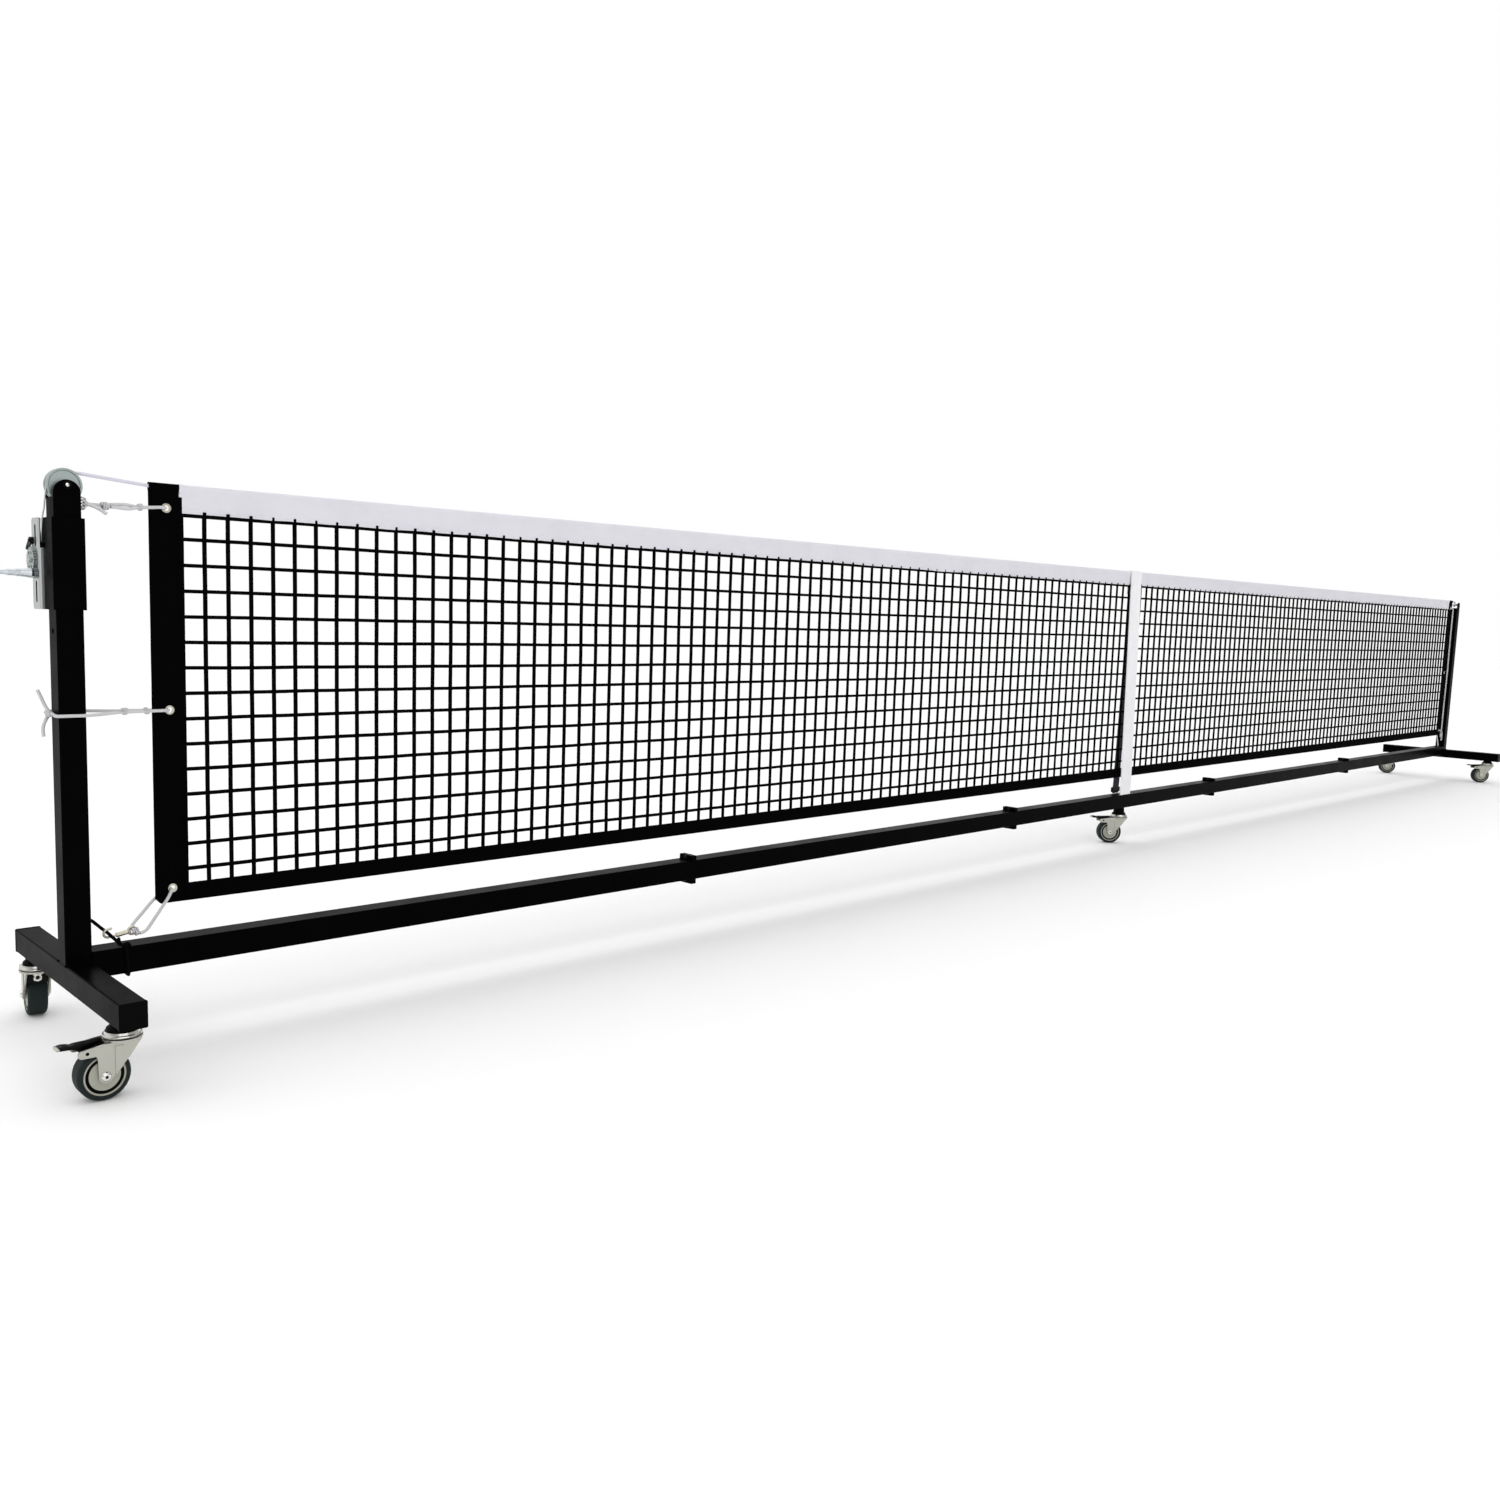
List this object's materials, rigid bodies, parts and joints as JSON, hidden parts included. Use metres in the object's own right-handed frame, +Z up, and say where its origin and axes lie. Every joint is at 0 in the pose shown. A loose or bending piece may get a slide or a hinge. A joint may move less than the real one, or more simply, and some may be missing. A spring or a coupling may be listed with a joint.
{
  "type": "portable_pickleball_net",
  "caption": "Wheeled steel pickleball net frame with a hand winch, pulley-fed top cable, white headband and centre strap",
  "frame": {"origin": "On the floor, in the middle of the net's length and depth, under the crossbar's centre caster", "axes": "X runs along the net towards the post without the winch, Y runs across the net from the side without the winch to the winch side, Z is up"},
  "size_m": [6.9533, 0.5732, 0.923],
  "materials": {
    "frame_black": "gloss black powder coat",
    "cap_black": "moulded black plastic",
    "fastener_steel": "bright zinc",
    "bolt_black": "black oxide",
    "winch_zinc": "satin zinc plate",
    "gear_steel": "pale zinc plate with a grey-green cast",
    "wire_steel": "drawn steel wire",
    "cable_white": "white coated cable",
    "tape_white": "woven white tape",
    "band_black": "woven black tape",
    "net_black": "knotted black twine",
    "strap_white": "white webbing",
    "strap_dark": "dark grey webbing",
    "buckle_black": "black plastic",
    "eyelet": "pale brass",
    "cord_white": "braided white cord",
    "cord_black": "black elastic cord",
    "yoke_nickel": "satin nickel",
    "race_zinc": "bright zinc",
    "hub_plastic": "warm grey plastic",
    "tyre_rubber": "dark green-black rubber",
    "pedal_black": "black plastic",
    "crank_chrome": "plated steel",
    "grip_black": "black rubber"
  },
  "bodies": {
    "frame": {"left_post": "frame_black", "right_post": "frame_black", "left_foot": "frame_black", "right_foot": "frame_black", "foot_end_caps": "cap_black", "crossbar_left_end": "frame_black", "crossbar_left_inner": "frame_black", "crossbar_centre": "frame_black", "crossbar_right_inner": "frame_black", "crossbar_right_end": "frame_black", "flange_bolts": "bolt_black", "caster_stems": "race_zinc", "caster_spacers": "cap_black", "winch_sleeve": "frame_black", "winch_bracket": "winch_zinc", "winch_bolts": "fastener_steel", "post_bolts": "fastener_steel", "net_mesh": "net_black", "headband": "tape_white", "net_border": "band_black", "grommets": "eyelet", "centre_strap": "strap_white", "strap_tail": "strap_dark", "strap_buckle": "buckle_black", "net_cable": "cable_white", "lacing_top": "cord_white", "lacing_middle": "cord_white", "lacing_bottom": "cord_white", "side_lace": "cord_white", "post_eye": "fastener_steel", "snap_hook": "eyelet", "bungee": "cord_black"},
    "pulley_body": {"pulley": "gear_steel"},
    "drum_body": {"winch_drum": "winch_zinc", "drum_gear": "gear_steel", "cable_turns": "wire_steel"},
    "crank_body": {"pinion_shaft": "gear_steel", "crank_handle": "crank_chrome"},
    "grip_body": {"crank_grip": "grip_black"},
    "pawl_body": {"ratchet_pawl": "buckle_black"},
    "swivel_1": {"caster_1_yoke": "yoke_nickel"},
    "wheel_1": {"caster_1_hub": "hub_plastic", "caster_1_tyre": "tyre_rubber"},
    "brake_1": {"caster_1_pedal": "pedal_black"},
    "swivel_2": {"caster_2_yoke": "yoke_nickel"},
    "wheel_2": {"caster_2_hub": "hub_plastic", "caster_2_tyre": "tyre_rubber"},
    "brake_2": {"caster_2_pedal": "pedal_black"},
    "swivel_3": {"caster_3_yoke": "yoke_nickel"},
    "wheel_3": {"caster_3_hub": "hub_plastic", "caster_3_tyre": "tyre_rubber"},
    "brake_3": {"caster_3_pedal": "pedal_black"},
    "swivel_4": {"caster_4_yoke": "yoke_nickel"},
    "wheel_4": {"caster_4_hub": "hub_plastic", "caster_4_tyre": "tyre_rubber"},
    "brake_4": {"caster_4_pedal": "pedal_black"},
    "swivel_5": {"caster_5_yoke": "yoke_nickel"},
    "wheel_5": {"caster_5_hub": "hub_plastic", "caster_5_tyre": "tyre_rubber"},
    "brake_5": {"caster_5_pedal": "pedal_black"}
  },
  "joints": [
    {"name": "pulley_spin", "type": "hinge", "parent": "frame", "child": "pulley_body", "pos_m": [-3.333, 0, 0.897], "axis": [0, 1, 0], "continuous": true},
    {"name": "drum_spin", "type": "hinge", "parent": "frame", "child": "drum_body", "pos_m": [-3.333, 0.0498, 0.7835], "axis": [1, 0, 0], "continuous": true},
    {"name": "crank_spin", "type": "hinge", "parent": "frame", "child": "crank_body", "pos_m": [-3.333, 0.03328, 0.7631], "axis": [1, 0, 0], "continuous": true},
    {"name": "grip_spin", "type": "hinge", "parent": "crank_body", "child": "grip_body", "pos_m": [-3.5, 0.03328, 0.6531], "axis": [1, 0, 0], "continuous": true},
    {"name": "pawl_swing", "type": "hinge", "parent": "frame", "child": "pawl_body", "pos_m": [-3.333, 0.0518, 0.8135], "axis": [1, 0, 0], "range_deg": [-11, 0]},
    {"name": "swivel_1_turn", "type": "hinge", "parent": "frame", "child": "swivel_1", "pos_m": [-3.333, -0.215, 0.09], "axis": [0, 0, 1], "continuous": true},
    {"name": "wheel_1_roll", "type": "hinge", "parent": "swivel_1", "child": "wheel_1", "pos_m": [-3.363, -0.215, 0.038], "axis": [0, 1, 0], "continuous": true},
    {"name": "brake_1_press", "type": "hinge", "parent": "swivel_1", "child": "brake_1", "pos_m": [-3.388, -0.215, 0.077], "axis": [0, -1, 0], "range_deg": [0, 14]},
    {"name": "swivel_2_turn", "type": "hinge", "parent": "frame", "child": "swivel_2", "pos_m": [-3.333, 0.215, 0.09], "axis": [0, 0, 1], "continuous": true},
    {"name": "wheel_2_roll", "type": "hinge", "parent": "swivel_2", "child": "wheel_2", "pos_m": [-3.32883, 0.24471, 0.038], "axis": [0.9903, -0.1392, 0], "continuous": true},
    {"name": "brake_2_press", "type": "hinge", "parent": "swivel_2", "child": "brake_2", "pos_m": [-3.32534, 0.26947, 0.077], "axis": [-0.9903, 0.1392, 0], "range_deg": [0, 14]},
    {"name": "swivel_3_turn", "type": "hinge", "parent": "frame", "child": "swivel_3", "pos_m": [0, 0, 0.09], "axis": [0, 0, 1], "continuous": true},
    {"name": "wheel_3_roll", "type": "hinge", "parent": "swivel_3", "child": "wheel_3", "pos_m": [-0.02121, 0.02121, 0.038], "axis": [0.7071, 0.7071, 0], "continuous": true},
    {"name": "brake_3_press", "type": "hinge", "parent": "swivel_3", "child": "brake_3", "pos_m": [-0.03889, 0.03889, 0.077], "axis": [-0.7071, -0.7071, 0], "range_deg": [0, 14]},
    {"name": "swivel_4_turn", "type": "hinge", "parent": "frame", "child": "swivel_4", "pos_m": [3.333, -0.215, 0.09], "axis": [0, 0, 1], "continuous": true},
    {"name": "wheel_4_roll", "type": "hinge", "parent": "swivel_4", "child": "wheel_4", "pos_m": [3.31372, -0.19202, 0.038], "axis": [0.766, 0.6428, 0], "continuous": true},
    {"name": "brake_4_press", "type": "hinge", "parent": "swivel_4", "child": "brake_4", "pos_m": [3.29765, -0.17287, 0.077], "axis": [-0.766, -0.6428, 0], "range_deg": [0, 14]},
    {"name": "swivel_5_turn", "type": "hinge", "parent": "frame", "child": "swivel_5", "pos_m": [3.333, 0.215, 0.09], "axis": [0, 0, 1], "continuous": true},
    {"name": "wheel_5_roll", "type": "hinge", "parent": "swivel_5", "child": "wheel_5", "pos_m": [3.318, 0.24098, 0.038], "axis": [0.866, 0.5, 0], "continuous": true},
    {"name": "brake_5_press", "type": "hinge", "parent": "swivel_5", "child": "brake_5", "pos_m": [3.3055, 0.26263, 0.077], "axis": [-0.866, -0.5, 0], "range_deg": [0, 14]}
  ],
  "couplings": [
    {"joint": "crank_spin", "follows": "drum_spin", "ratio": -2.8889}
  ]
}
